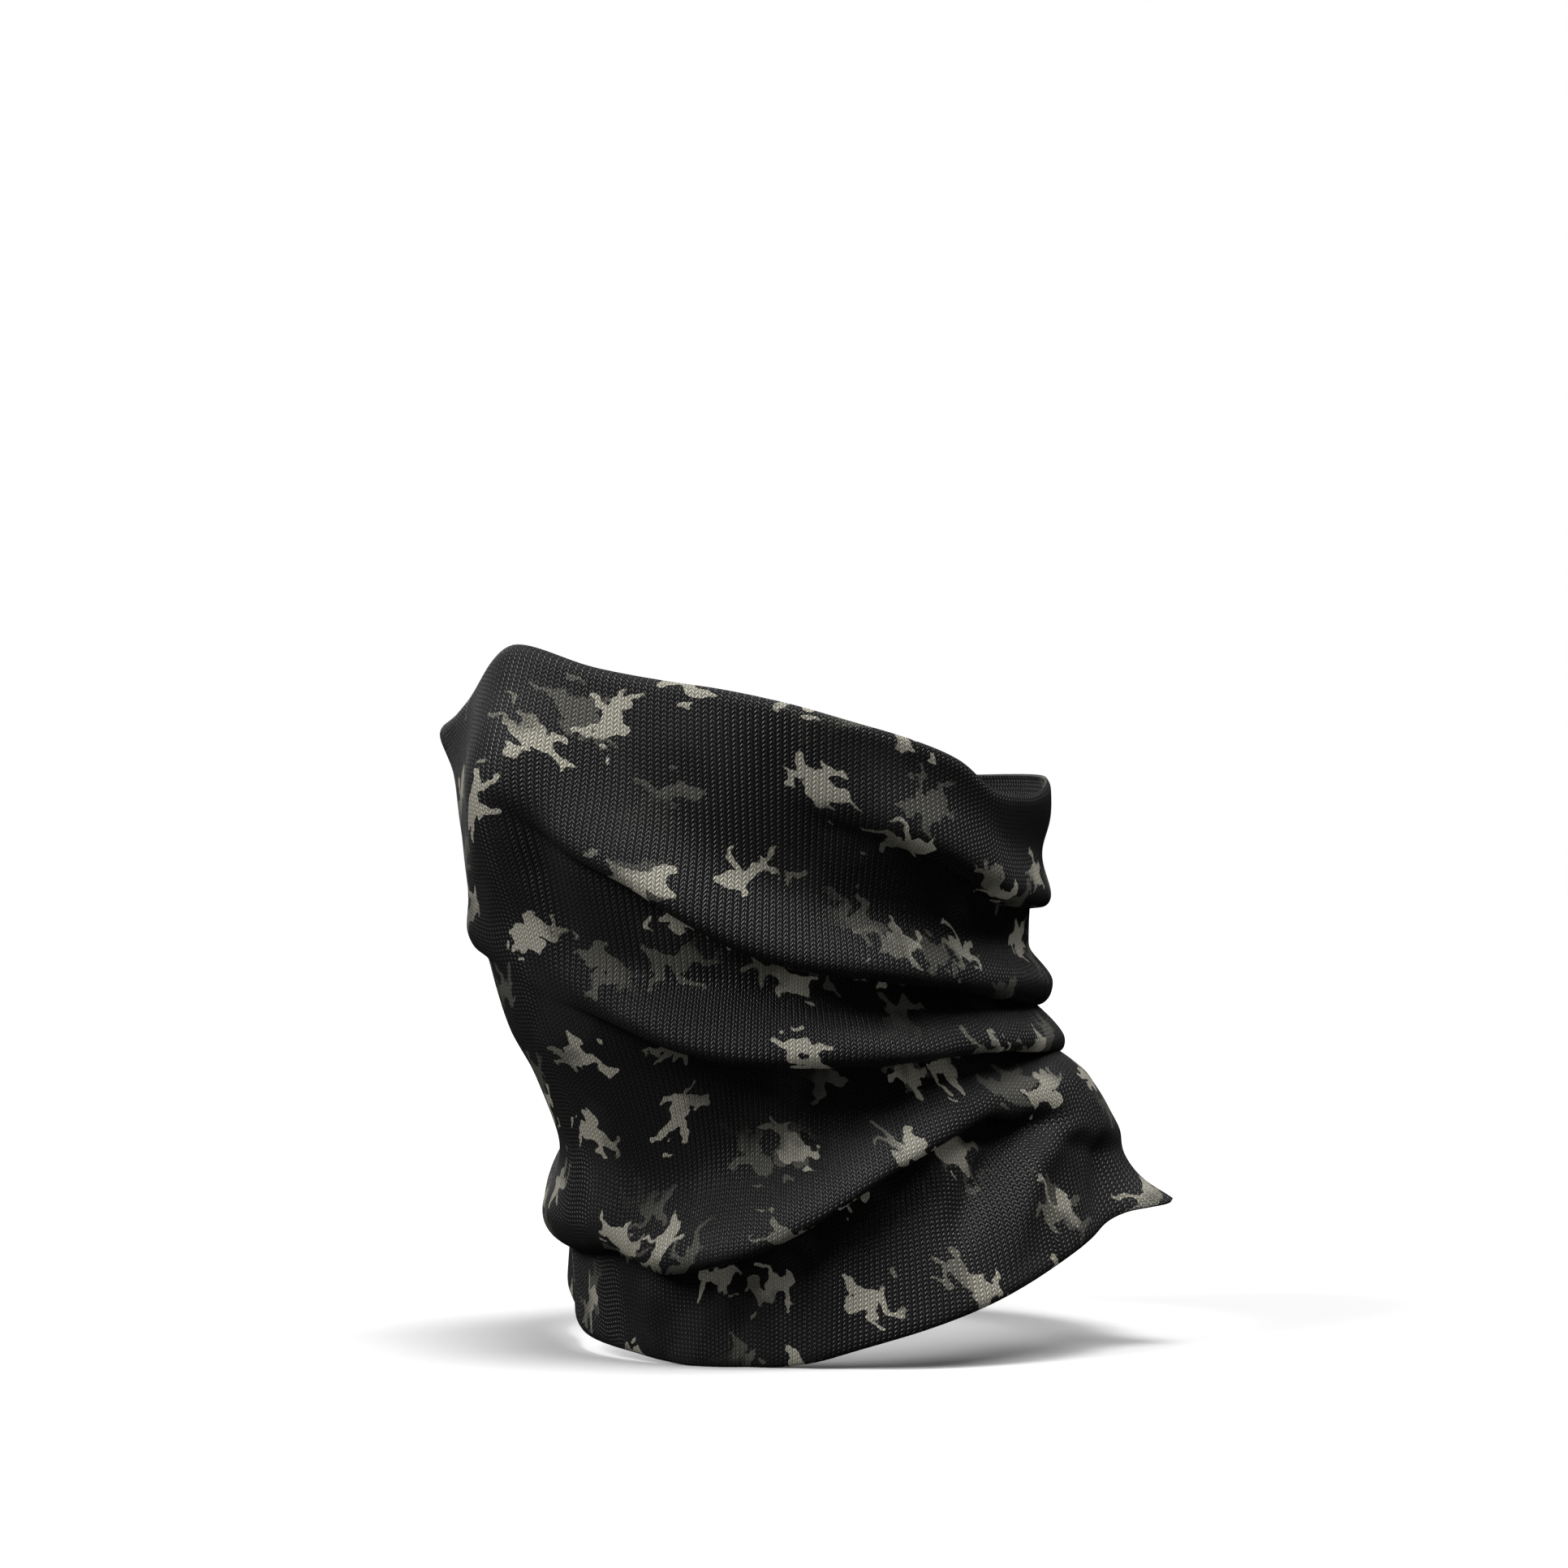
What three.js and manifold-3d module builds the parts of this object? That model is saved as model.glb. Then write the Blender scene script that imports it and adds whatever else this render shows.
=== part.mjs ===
// A knitted camo face mask: one tube of printed jersey, pulled on over the head and worn over the
// nose, the cheeks and the neck. It is drawn in its worn shape, hollow, and open at both ends.
//
// Millimetres, +Z up. The wearer looks along -Y, and the wearer's left is +X. The origin lies on
// the axis of the neck at the height of the chin. Angles are in degrees round that axis, from the
// front (0) by the wearer's left ear (90) to the nape (180).
import * as THREE from "three";
import { ParametricGeometry } from "three/addons/geometries/ParametricGeometry.js";
import { mergeVertices } from "three/addons/utils/BufferGeometryUtils.js";
import Module from "manifold-3d";

const manifold = await Module();
manifold.setup();

// ---- driving dimensions ---------------------------------------------------------------------
const FACE_DEPTH = 190; // nose ridge to nape, at the height of the nose tip
const FACE_BREADTH = 154; // cheek to cheek along the rim
const WORN_HEIGHT = 180; // top of the rim to the lowest point of the hem
const CLOTH_THICKNESS = 0.9;
const SEAM_ALLOWANCE = 6; // width of the two raw edges turned in at the centre back
const THREAD_DIAMETER = 0.4;
const STITCH_PITCH = 3;
const NEEDLE_ROWS = [1.8, 3.8]; // the two needle lines, from the seam towards the raw edge
const TACK_LENGTH = 7; // the bar of stitches that locks each end of the seam
const TACK_WIDTH = 4.6;
const TACK_HEIGHT = 0.8;
const END_MARGIN = 2; // bare cloth past each tack
const CLEARANCE = 0.4; // between pieces that touch

// the sizes at which the outlines below are drawn
const DRAWN_DEPTH = 190;
const DRAWN_BREADTH = 154;
const DRAWN_HEIGHT = 180;

// ---- the wearer's form ----------------------------------------------------------------------
// Reach from the neck axis at five angles, level by level from the bridge of the nose down.
const FORM_STATIONS = [0, 45, 90, 135, 180];
const FORM = [
  { height: 112, reach: [88, 87, 77, 70, 70] },
  { height: 95, reach: [90, 87, 76, 70, 70] },
  { height: 75, reach: [93, 83, 74, 69, 69] },
  { height: 55, reach: [95, 77, 70, 65, 65] },
  { height: 35, reach: [90, 71, 64, 64, 63] },
  { height: 15, reach: [83, 66, 62, 65, 64] },
  { height: 0, reach: [75, 60, 62, 74, 75] },
  { height: -15, reach: [68, 56, 66, 86, 89] },
  { height: -30, reach: [62, 56, 70, 90, 95] },
  { height: -50, reach: [57, 55, 75, 96, 102] },
  { height: -80, reach: [54, 54, 79, 104, 110] },
];

// The nose lifts the cloth in a narrow ridge.
const NOSE = { proud: 12, halfAngle: 11, top: 145, tip: 80, base: 42 };

// ---- the two edges of the cloth: [angle, height] --------------------------------------------
const RIM = [
  [0, 111], [14, 104.5], [26, 100], [45, 94.5], [67, 86.5], [80, 80], [90, 74], [120, 74],
  [180, 77], [240, 74], [270, 74], [293, 83], [315, 91], [335, 95], [350, 104],
];
const HEM = [
  [0, -62], [24, -69], [45, -69], [70, -62], [90, -53], [110, -42], [135, -30],
  [180, -26], [225, -30], [250, -41], [270, -50], [290, -57], [320, -60],
];

// One corner of the hem has rolled up into a point behind the left shoulder.
const HEM_POINT = { angle: 132, halfAngle: 8, proud: 13, sharpness: 12 };

// ---- the folds: [angle, height, proud] along each ridge, with its reach above and below ------
const FOLDS = [
  {
    name: "nape roll",
    above: 18,
    below: 9,
    ridge: [
      [45, 76, 0], [70, 61, 3], [100, 51, 5], [135, 49, 6], [180, 50, 5], [225, 50, 4],
      [270, 58, 3], [315, 72, 0],
    ],
  },
  {
    name: "cheek fold",
    above: 15,
    below: 11,
    ridge: [
      [5, 88, 0], [20, 68, 2], [34, 49, 4], [52, 35, 5], [82, 30, 5], [135, 27, 6],
      [180, 28, 6], [240, 34, 4], [300, 52, 3], [345, 74, 0],
    ],
  },
  {
    name: "chin fold",
    above: 11,
    below: 10,
    ridge: [
      [0, 36, 4], [18, 27, 4], [33, 15, 5], [54, 11, 6], [90, 12, 6], [135, 9, 6],
      [180, 10, 6], [225, 12, 5], [270, 24, 5], [315, 41, 7],
    ],
  },
  {
    name: "neck roll",
    above: 15,
    below: 10,
    ridge: [
      [0, -31, 6], [18, -42, 7], [38, -40, 8], [66, -24, 7], [100, -8, 5], [135, -3, 3],
      [180, -3, 3], [240, -8, 4], [290, -22, 6], [320, -33, 7],
    ],
  },
];

// ---- grid of the cloth ----------------------------------------------------------------------
const COLUMNS = 60; // round the tube
const ROWS = 28; // rim to hem
const THREAD_SIDES = 5;
const TACK_SECTIONS = 8; // so that a tack bends with the cloth under it
const MERGE_DISTANCE = 1e-4;

const radians = THREE.MathUtils.degToRad;

/** Smooth curve through (x, y) pairs that never overshoots; with a period it closes on itself. */
function smoothThrough(pairs, x, period = 0) {
  let knots = pairs;
  if (period) {
    const before = pairs.slice(-2).map(([a, b]) => [a - period, b]);
    const after = pairs.slice(0, 2).map(([a, b]) => [a + period, b]);
    knots = [...before, ...pairs, ...after];
    x = ((x % period) + period) % period;
  }
  const last = knots.length - 1;
  const slope = (i) => (knots[i + 1][1] - knots[i][1]) / (knots[i + 1][0] - knots[i][0]);
  const tangent = (i) => {
    if (i === 0) return slope(0);
    if (i === last) return slope(last - 1);
    const [left, right] = [slope(i - 1), slope(i)];
    if (left * right <= 0) return 0;
    const [before, after] = [knots[i][0] - knots[i - 1][0], knots[i + 1][0] - knots[i][0]];
    const mean = (right * before + left * after) / (before + after);
    const limit = 3 * Math.min(Math.abs(left), Math.abs(right));
    return Math.sign(mean) * Math.min(Math.abs(mean), limit);
  };
  let i = 0;
  while (i < last - 1 && x >= knots[i + 1][0]) i += 1;
  const span = knots[i + 1][0] - knots[i][0];
  const t = (x - knots[i][0]) / span;
  const rise = knots[i + 1][1] - knots[i][1];
  const curve = t * t * (3 - 2 * t) * rise;
  const start = t * (1 - t) * (1 - t) * span * tangent(i);
  const end = t * t * (1 - t) * span * tangent(i + 1);
  return knots[i][1] + curve + start - end;
}

/** How far the wearer reaches from the axis at an angle and a height, nose apart. */
function formReach(angle, height) {
  const levels = FORM.toReversed();
  const stations = FORM_STATIONS.map((station, k) => {
    return [station, smoothThrough(levels.map((level) => [level.height, level.reach[k]]), height)];
  });
  const mirrored = stations.slice(1, -1).toReversed().map(([a, reach]) => [360 - a, reach]);
  return smoothThrough([...stations, ...mirrored], angle, 360);
}

/** What the ridge of the nose adds to that reach. */
function noseReach(angle, height) {
  const fromFront = ((angle + 180) % 360) - 180;
  const slopeAbove = (NOSE.top - height) / (NOSE.top - NOSE.tip);
  const slopeBelow = (height - NOSE.base) / (NOSE.tip - NOSE.base);
  const level = THREE.MathUtils.smoothstep(Math.min(slopeAbove, slopeBelow), 0, 1);
  return NOSE.proud * level * Math.exp(-((fromFront / NOSE.halfAngle) ** 2));
}

/** How far the highest fold at this place stands off the form. */
function foldReach(angle, height) {
  let reach = 0;
  for (const fold of FOLDS) {
    const crest = smoothThrough(fold.ridge.map(([a, h]) => [a, h]), angle, 360);
    const proud = smoothThrough(fold.ridge.map(([a, , p]) => [a, p]), angle, 360);
    const offset = height - crest;
    const share = Math.min(Math.abs(offset) / (offset > 0 ? fold.above : fold.below), 1);
    reach = Math.max(reach, (proud * (1 + Math.cos(Math.PI * share))) / 2);
  }
  return reach;
}

/** A point on the outer face of the cloth; along runs from the rim (0) to the hem (1). */
function clothPoint(angle, along) {
  const rim = smoothThrough(RIM, angle, 360);
  const hem = smoothThrough(HEM, angle, 360);
  const height = rim + (hem - rim) * along;
  const turned = (angle - HEM_POINT.angle) / HEM_POINT.halfAngle;
  const point = HEM_POINT.proud * Math.exp(-(turned ** 2)) * along ** HEM_POINT.sharpness;
  const reach = formReach(angle, height) + noseReach(angle, height) + foldReach(angle, height) + point;
  const x = (reach * Math.sin(radians(angle)) * FACE_BREADTH) / DRAWN_BREADTH;
  const y = (-reach * Math.cos(radians(angle)) * FACE_DEPTH) / DRAWN_DEPTH;
  return new THREE.Vector3(x, y, (height * WORN_HEIGHT) / DRAWN_HEIGHT);
}

/** A point in the cloth at a depth under its outer face, measured square to the cloth. */
function clothDepth(angle, along, depth) {
  const [turn, step] = [360 / COLUMNS, 1 / ROWS];
  const above = clothPoint(angle, Math.max(along - step, 0));
  const below = clothPoint(angle, Math.min(along + step, 1));
  const across = clothPoint(angle + turn, along).sub(clothPoint(angle - turn, along));
  const outward = below.sub(above).cross(across).normalize();
  return clothPoint(angle, along).addScaledVector(outward, -depth);
}

/** One closed shell from a three.js geometry: shared vertices, positions only, faces outwards. */
function shell(geometry) {
  for (const name of ["normal", "uv"]) geometry.deleteAttribute(name);
  const merged = mergeVertices(geometry, MERGE_DISTANCE);
  const index = merged.index.array;
  const corner = (i) => new THREE.Vector3().fromBufferAttribute(merged.attributes.position, index[i]);
  let volume = 0;
  for (let i = 0; i < index.length; i += 3) {
    volume += corner(i).dot(corner(i + 1).cross(corner(i + 2))) / 6;
  }
  if (volume > 0) return merged;
  for (let i = 0; i < index.length; i += 3) [index[i], index[i + 1]] = [index[i + 1], index[i]];
  return merged;
}

function toManifold(geometry) {
  const vertProperties = new Float32Array(geometry.attributes.position.array);
  const triVerts = new Uint32Array(geometry.index.array);
  return new manifold.Manifold(new manifold.Mesh({ numProp: 3, vertProperties, triVerts }));
}

function fromManifold(solid) {
  const { vertProperties, triVerts } = solid.getMesh();
  const geometry = new THREE.BufferGeometry();
  geometry.setAttribute("position", new THREE.BufferAttribute(vertProperties, 3));
  geometry.setIndex(new THREE.BufferAttribute(triVerts, 1));
  geometry.computeVertexNormals();
  return geometry;
}

// ---- the tube -------------------------------------------------------------------------------
/** The wall is one ring: down the outer face, round the hem, up the inner face, round the rim. */
function tubeWall() {
  const stacks = 2 * (ROWS + 1);
  const place = (u, v, target) => {
    const angle = (Math.round(u * COLUMNS) % COLUMNS) * (360 / COLUMNS);
    const row = Math.round(v * stacks) % stacks;
    const inside = row > ROWS;
    const along = (inside ? stacks - 1 - row : row) / ROWS;
    target.copy(clothDepth(angle, along, inside ? CLOTH_THICKNESS : 0));
  };
  return shell(new ParametricGeometry(place, COLUMNS, stacks));
}

// ---- the seam at the centre back --------------------------------------------------------------
// The pieces of the seam are drawn flat, in millimetres: x runs across from the seam line towards
// the raw edge, y down from the rim, and z is the depth under the outer face of the tube.
const SEAM_ANGLE = 180;
const allowanceDepth = 3 * CLOTH_THICKNESS; // the wall and the two plies turned in on it
const backReach = clothPoint(SEAM_ANGLE, 0.5).length();
const seamLength = clothPoint(SEAM_ANGLE, 0).distanceTo(clothPoint(SEAM_ANGLE, 1));

/** Bends a flat piece onto the seam, along the facets of the wall that carries it. */
function ontoSeam(geometry) {
  const flat = new THREE.Vector3();
  const position = geometry.attributes.position;
  for (let i = 0; i < position.count; i += 1) {
    flat.fromBufferAttribute(position, i);
    const angle = SEAM_ANGLE - THREE.MathUtils.radToDeg(flat.x / backReach);
    const rows = THREE.MathUtils.clamp((flat.y / seamLength) * ROWS, 0, ROWS);
    const row = Math.min(Math.floor(rows), ROWS - 1);
    const next = clothDepth(angle, (row + 1) / ROWS, flat.z);
    const place = clothDepth(angle, row / ROWS, flat.z).lerp(next, rows - row);
    position.setXYZ(i, place.x, place.y, place.z);
  }
  return shell(geometry);
}

/** The allowance overlaps the wall by half the cloth's thickness, so that both are one cloth. */
function seamAllowance() {
  const width = SEAM_ALLOWANCE;
  const depth = allowanceDepth - CLOTH_THICKNESS / 2;
  const strip = new THREE.BoxGeometry(width, seamLength, depth, 2, ROWS, 1);
  strip.translate(width / 2, seamLength / 2, allowanceDepth - depth / 2);
  const ends = CLOTH_THICKNESS / 4; // the strip stops just inside the two edges of the wall
  const position = strip.attributes.position;
  for (let i = 0; i < position.count; i += 1) {
    position.setY(i, THREE.MathUtils.clamp(position.getY(i), ends, seamLength - ends));
  }
  return ontoSeam(strip);
}

/** The tube: its wall, joined with the allowance, which is the same cloth turned in. */
function knitTube() {
  return fromManifold(toManifold(tubeWall()).add(toManifold(seamAllowance())));
}

// The threads run between the two tacks. The upper looper crosses over the needle threads.
const threadStart = END_MARGIN + TACK_LENGTH + CLEARANCE;
const threadLength = seamLength - 2 * threadStart;
const threadRadius = THREAD_DIAMETER / 2;
const needleDepth = allowanceDepth + CLEARANCE + threadRadius;
const looperDepth = needleDepth + THREAD_DIAMETER + CLEARANCE;
const stitches = Math.round(threadLength / STITCH_PITCH);

/** A needle thread lies in one straight row on the allowance. */
function needleThread(row) {
  const sections = 4 * ROWS;
  const cord = new THREE.CylinderGeometry(
    threadRadius, threadRadius, threadLength, THREAD_SIDES, sections,
  );
  return ontoSeam(cord.translate(row, seamLength / 2, needleDepth));
}

/** A looper thread swings from one line to another and back, once for each stitch. */
function looperThread(lines, depths, phase) {
  const section = new THREE.Shape();
  for (let side = 0; side <= THREAD_SIDES; side += 1) {
    const turn = (side / THREAD_SIDES) * 2 * Math.PI;
    const [x, y] = [threadRadius * Math.cos(turn), threadRadius * Math.sin(turn)];
    if (side) section.lineTo(x, y);
    else section.moveTo(x, y);
  }
  const swings = [];
  for (let i = 0; i <= 2 * stitches; i += 1) {
    const end = (i + phase) % 2;
    const down = threadStart + (threadLength * i) / (2 * stitches);
    swings.push(new THREE.Vector3(lines[end], down, depths[end]));
  }
  const path = { steps: 4 * stitches, extrudePath: new THREE.CatmullRomCurve3(swings) };
  return ontoSeam(new THREE.ExtrudeGeometry(section, { ...path, bevelEnabled: false }));
}

/** A tack is a low bar of dense stitches across both needle rows. */
function seamTack(start) {
  const tack = new THREE.BoxGeometry(TACK_WIDTH, TACK_LENGTH, TACK_HEIGHT, 2, TACK_SECTIONS, 1);
  const middle = allowanceDepth + CLEARANCE + TACK_HEIGHT / 2;
  return ontoSeam(tack.translate(SEAM_ALLOWANCE / 2, start + TACK_LENGTH / 2, middle));
}

// ---- finishes -------------------------------------------------------------------------------
const jersey = new THREE.MeshStandardMaterial({ color: 0x1b1b1b, roughness: 0.85, metalness: 0 });
const sewing = new THREE.MeshStandardMaterial({ color: 0x101010, roughness: 0.6, metalness: 0 });

const mask = new THREE.Group();

function addPiece(name, geometry, material) {
  const piece = new THREE.Mesh(geometry, material);
  piece.name = name;
  mask.add(piece);
}

// The lower looper runs down the raw edge, from the cloth of the tube to the top of the allowance.
const rawEdge = SEAM_ALLOWANCE + CLEARANCE + threadRadius;
const edgeDepths = [CLOTH_THICKNESS + CLEARANCE + threadRadius, allowanceDepth];

addPiece("knit_tube", knitTube(), jersey);
addPiece("needle_thread_inner", needleThread(NEEDLE_ROWS[0]), sewing);
addPiece("needle_thread_outer", needleThread(NEEDLE_ROWS[1]), sewing);
addPiece(
  "looper_thread_upper",
  looperThread([NEEDLE_ROWS[0], SEAM_ALLOWANCE - threadRadius], [looperDepth, looperDepth], 0),
  sewing,
);
addPiece("looper_thread_lower", looperThread([rawEdge, rawEdge], edgeDepths, 1), sewing);
addPiece("rim_tack", seamTack(END_MARGIN), sewing);
addPiece("hem_tack", seamTack(seamLength - END_MARGIN - TACK_LENGTH), sewing);

export default mask;
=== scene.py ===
# %% [markdown]
# # A knitted camo face mask
#
# The mask is one tube of printed jersey. It is pulled on over the head and worn over the nose, the
# cheeks and the neck, where it gathers in soft rolls. This lesson builds its looks in Blender
# around a CAD model that already has the right size: first the camera and the studio, then the
# cloth, the seam inside it, and last the knit and the print.

import math

import bmesh
import bpy
import numpy as np
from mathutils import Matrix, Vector


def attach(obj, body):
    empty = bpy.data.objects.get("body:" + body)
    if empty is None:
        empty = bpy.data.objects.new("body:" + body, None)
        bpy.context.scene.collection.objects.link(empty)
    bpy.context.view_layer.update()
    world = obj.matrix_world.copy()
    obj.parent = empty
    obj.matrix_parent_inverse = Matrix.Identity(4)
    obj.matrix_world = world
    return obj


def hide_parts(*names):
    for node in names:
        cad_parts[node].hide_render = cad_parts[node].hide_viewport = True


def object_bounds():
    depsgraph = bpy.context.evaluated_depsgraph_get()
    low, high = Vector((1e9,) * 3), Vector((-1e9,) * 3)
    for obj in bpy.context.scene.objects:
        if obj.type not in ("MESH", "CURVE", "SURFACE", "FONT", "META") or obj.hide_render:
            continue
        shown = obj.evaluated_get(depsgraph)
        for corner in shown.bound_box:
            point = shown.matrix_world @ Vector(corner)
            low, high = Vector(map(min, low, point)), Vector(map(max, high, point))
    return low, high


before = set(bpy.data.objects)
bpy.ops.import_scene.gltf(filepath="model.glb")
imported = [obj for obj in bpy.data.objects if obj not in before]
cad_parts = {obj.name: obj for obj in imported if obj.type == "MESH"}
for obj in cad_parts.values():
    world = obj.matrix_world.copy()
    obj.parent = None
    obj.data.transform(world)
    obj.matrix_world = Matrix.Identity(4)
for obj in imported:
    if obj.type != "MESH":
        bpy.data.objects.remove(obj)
cad_box = [list(corner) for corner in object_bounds()]
print("CAD box:", [[round(x, 4) for x in corner] for corner in cad_box])

# %% [markdown]
# ## Camera
#
# The mask is seen from the wearer's left front, level with the mouth. A long lens from a little
# over a metre keeps the proportions of the face, as a portrait lens does.

# %% Camera
VIEW_AZIMUTH = math.radians(45)
VIEW_ELEVATION = math.radians(-1)
VIEW_DISTANCE = 1.1
LENS, SENSOR_WIDTH = 96.3, 36  # millimetres
LOOKED_AT = Vector((0, 0, 0.0774))  # just under the tip of the nose, on the axis of the neck

back = Vector((
    math.sin(VIEW_AZIMUTH) * math.cos(VIEW_ELEVATION),
    -math.cos(VIEW_AZIMUTH) * math.cos(VIEW_ELEVATION),
    math.sin(VIEW_ELEVATION),
))
camera = bpy.data.objects.new("camera", bpy.data.cameras.new("camera"))
bpy.context.scene.collection.objects.link(camera)
camera.data.lens = LENS
camera.data.sensor_width = SENSOR_WIDTH
camera.location = LOOKED_AT + back * VIEW_DISTANCE
camera.rotation_euler = back.to_track_quat("Z", "Y").to_euler()
bpy.context.scene.camera = camera
print("camera at", [round(x, 3) for x in camera.location])

# %% [markdown]
# ## Studio
#
# The floor is a wide pale disc just under the mask. It could be a curved backdrop, but the air
# behind it is white too, so a flat disc shows no edge. It gives the cloth no light from below,
# because that would fill the undersides of the folds, which are nearly black.

# %% Floor
def new_object(name, mesh):
    piece = bpy.data.objects.new(name, mesh)
    bpy.context.scene.collection.objects.link(piece)
    return piece


def mesh_from(name, bm):
    mesh = bpy.data.meshes.new(name)
    bm.to_mesh(mesh)
    bm.free()
    return mesh


FLOOR_RADIUS = 12

bm = bmesh.new()
bmesh.ops.create_circle(bm, cap_ends=True, segments=96, radius=FLOOR_RADIUS)
bmesh.ops.translate(bm, verts=bm.verts, vec=(0, 0, cad_box[0][2]))
floor = new_object("floor", mesh_from("floor", bm))
pale = bpy.data.materials.new("pale floor")
pale.use_nodes = True
paint = pale.node_tree.nodes["Principled BSDF"].inputs
paint["Base Color"].default_value = (0.9, 0.9, 0.9, 1)
paint["Roughness"].default_value = 0.9
paint["Specular IOR Level"].default_value = 0.1
floor.data.materials.append(pale)
floor.visible_diffuse = floor.visible_glossy = False
print("floor at", round(cad_box[0][2], 4))

# %% [markdown]
# ## Lights
#
# Black cloth shows its folds by what it reflects. Area lights would do, but a sun with a wide
# angle lights every part alike and is aimed by an azimuth and an elevation alone. Two strong ones,
# from the front and from overhead, draw the crests of the folds, and three weak ones keep the
# sides and the back from going flat. The air is white only to the camera: to the cloth it is dim,
# so that the valleys stay dark.

# %% Lights
def soft_sun(name, azimuth, elevation, spread, strength):
    """A wide light from an azimuth and an elevation in degrees; spread is how wide it looks."""
    a, e = math.radians(azimuth), math.radians(elevation)
    away = Vector((math.sin(a) * math.cos(e), -math.cos(a) * math.cos(e), math.sin(e)))
    lamp = bpy.data.objects.new(name, bpy.data.lights.new(name, "SUN"))
    bpy.context.scene.collection.objects.link(lamp)
    lamp.data.angle = math.radians(spread)
    lamp.data.energy = strength
    lamp.rotation_euler = away.to_track_quat("Z", "Y").to_euler()
    return lamp


soft_sun("front light", -12, 36, 28, 2.0)
soft_sun("overhead light", 48, 76, 20, 1.7)
soft_sun("side light", 88, 62, 26, 0.6)
soft_sun("back light", 150, 50, 26, 0.7)
soft_sun("edge light", -120, 18, 40, 0.2)

SEEN_AIR, FELT_AIR = 1.0, 0.22  # how strong the air is to the camera and to the cloth

world = bpy.data.worlds.new("studio")
bpy.context.scene.world = world
world.use_nodes = True
world_nodes = world.node_tree.nodes
world_nodes.clear()
seen = world_nodes.new("ShaderNodeBackground")
felt = world_nodes.new("ShaderNodeBackground")
seen.inputs["Color"].default_value = (1, 1, 1, 1)
seen.inputs["Strength"].default_value = SEEN_AIR
felt.inputs["Color"].default_value = (1, 1, 1, 1)
felt.inputs["Strength"].default_value = FELT_AIR
world.cycles_visibility.glossy = False
which = world_nodes.new("ShaderNodeMixShader")
ray = world_nodes.new("ShaderNodeLightPath")
out = world_nodes.new("ShaderNodeOutputWorld")
world.node_tree.links.new(ray.outputs["Is Camera Ray"], which.inputs["Fac"])
world.node_tree.links.new(felt.outputs[0], which.inputs[1])
world.node_tree.links.new(seen.outputs[0], which.inputs[2])
world.node_tree.links.new(which.outputs[0], out.inputs["Surface"])
bpy.context.scene.view_settings.view_transform = "Standard"

# %% [markdown]
# ## The shape that the wearer gives the cloth
#
# The cloth has no shape of its own. It takes the wearer's, so the wearer's form comes first: how
# far it reaches from the axis of the neck at five angles, level by level. Angles are in degrees
# from the front (0) by the wearer's left ear (90) to the nape (180), and lengths in millimetres.
# They are the tables of the CAD model, so the cloth lies where the CAD solid is.

# %% The wearer's form
FORM_STATIONS = [0, 45, 90, 135, 180, 225, 270, 315]
FORM = {
    112: [88, 87, 77, 70, 70], 95: [90, 87, 76, 70, 70], 75: [93, 83, 74, 69, 69],
    55: [95, 77, 70, 65, 65], 35: [90, 71, 64, 64, 63], 15: [83, 66, 62, 65, 64],
    0: [75, 60, 62, 74, 75], -15: [68, 56, 66, 86, 89], -30: [62, 56, 70, 90, 95],
    -50: [57, 55, 75, 96, 102], -80: [54, 54, 79, 104, 110],
}
NOSE_PROUD, NOSE_HALF_ANGLE = 12, 11
NOSE_TOP, NOSE_TIP, NOSE_BASE = 145, 80, 42


def smooth_through(knots, values, x, period=0):
    """Smooth curve through the values at the knots that never overshoots; values may be rows."""
    knots, values = np.asarray(knots, float), np.asarray(values, float)
    if values.ndim == 1:
        values = np.repeat(values[:, None], len(x), axis=1)
    if period:
        knots = np.concatenate([knots[-2:] - period, knots, knots[:2] + period])
        values = np.concatenate([values[-2:], values, values[:2]])
        x = np.mod(x, period)
    span = np.diff(knots)[:, None]
    slope = np.diff(values, axis=0) / span
    left, right = slope[:-1], slope[1:]
    mean = (right * span[:-1] + left * span[1:]) / (span[:-1] + span[1:])
    limit = 3 * np.minimum(abs(left), abs(right))
    inner = np.where(left * right > 0, np.sign(mean) * np.minimum(abs(mean), limit), 0)
    tangent = np.concatenate([slope[:1], inner, slope[-1:]])
    i = np.clip(np.searchsorted(knots, x, side="right") - 1, 0, len(knots) - 2)
    here = np.arange(len(x))
    t, wide = (x - knots[i]) / span[i, 0], span[i, 0]
    rise = values[i + 1, here] - values[i, here]
    start = t * (1 - t) ** 2 * wide * tangent[i, here]
    end = t ** 2 * (1 - t) * wide * tangent[i + 1, here]
    return values[i, here] + t * t * (3 - 2 * t) * rise + start - end


def smooth_step(x):
    x = np.clip(x, 0, 1)
    return x * x * (3 - 2 * x)


def from_front(angle):
    """The same angle between -180 and 180."""
    return np.mod(angle + 180, 360) - 180


def form_reach(angle, height):
    levels = sorted(FORM)
    stations = [smooth_through(levels, [FORM[z][k] for z in levels], height) for k in range(5)]
    stations += [stations[3], stations[2], stations[1]]  # the wearer's right side
    reach = smooth_through(FORM_STATIONS, np.array(stations), angle, 360)
    level = smooth_step(np.minimum(
        (NOSE_TOP - height) / (NOSE_TOP - NOSE_TIP), (height - NOSE_BASE) / (NOSE_TIP - NOSE_BASE),
    ))
    return reach + NOSE_PROUD * level * np.exp(-((from_front(angle) / NOSE_HALF_ANGLE) ** 2))


print("reach at the nose tip:", form_reach(np.array([0.0]), np.array([80.0])).round(1))

# %% [markdown]
# ## Folds
#
# A tube that is longer than the neck slides down and gathers. Each gather is a roll: it swells
# gently above its crest, hangs down over its own foot, and throws a dark shadow there. A fold is
# therefore a line of crest heights round the neck, with how far it stands proud, how far it
# reaches above and below the crest, and how far it droops. Lesser wrinkles that cross the rolls
# are short strokes, raised or sunk.

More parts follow.
